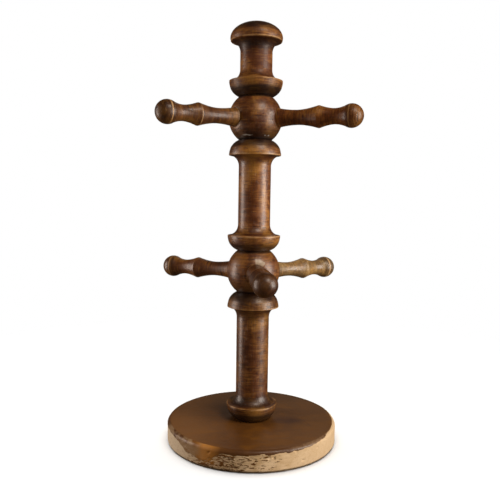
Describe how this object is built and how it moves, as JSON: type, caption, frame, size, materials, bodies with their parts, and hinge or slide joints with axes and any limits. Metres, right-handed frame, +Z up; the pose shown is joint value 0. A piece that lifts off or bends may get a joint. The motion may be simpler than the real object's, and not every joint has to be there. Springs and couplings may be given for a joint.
{
  "type": "mug tree",
  "caption": "Turned-wood mug tree: round base, post of spools and drilled balls with a mushroom finial, and two tiers of turned pegs for hanging mugs.",
  "frame": {"origin": "centre of the underside of the base, on the table", "axes": "+Z up along the post; -Y is the front, where one lower peg points; +X is to the right of the front"},
  "size_m": [0.1645, 0.1798, 0.3478],
  "materials": {
    "post_wood": "dark stain under satin lacquer, worn on the rims",
    "ball_wood": "dark stain under satin lacquer",
    "peg_wood": "dark stain under satin lacquer, rubbed on the crests",
    "base_wood": "dark stain under satin lacquer, flaked to bare wood round the rim",
    "dowel_wood": "bare, hidden",
    "screw_steel": "zinc plated",
    "felt": "matt brown felt"
  },
  "bodies": {
    "root": {"base_disc": "base_wood", "felt_pad": "felt", "base_screw": "screw_steel", "lower_column": "post_wood", "lower_ball": "ball_wood", "upper_column": "post_wood", "upper_ball": "ball_wood", "finial": "post_wood", "dowel_below_lower_ball": "dowel_wood", "dowel_above_lower_ball": "dowel_wood", "dowel_below_upper_ball": "dowel_wood", "dowel_above_upper_ball": "dowel_wood", "peg_upper_right": "peg_wood", "peg_upper_left": "peg_wood", "peg_upper_rear": "peg_wood", "peg_lower_front": "peg_wood", "peg_lower_right": "peg_wood", "peg_lower_left": "peg_wood"}
  },
  "joints": []
}
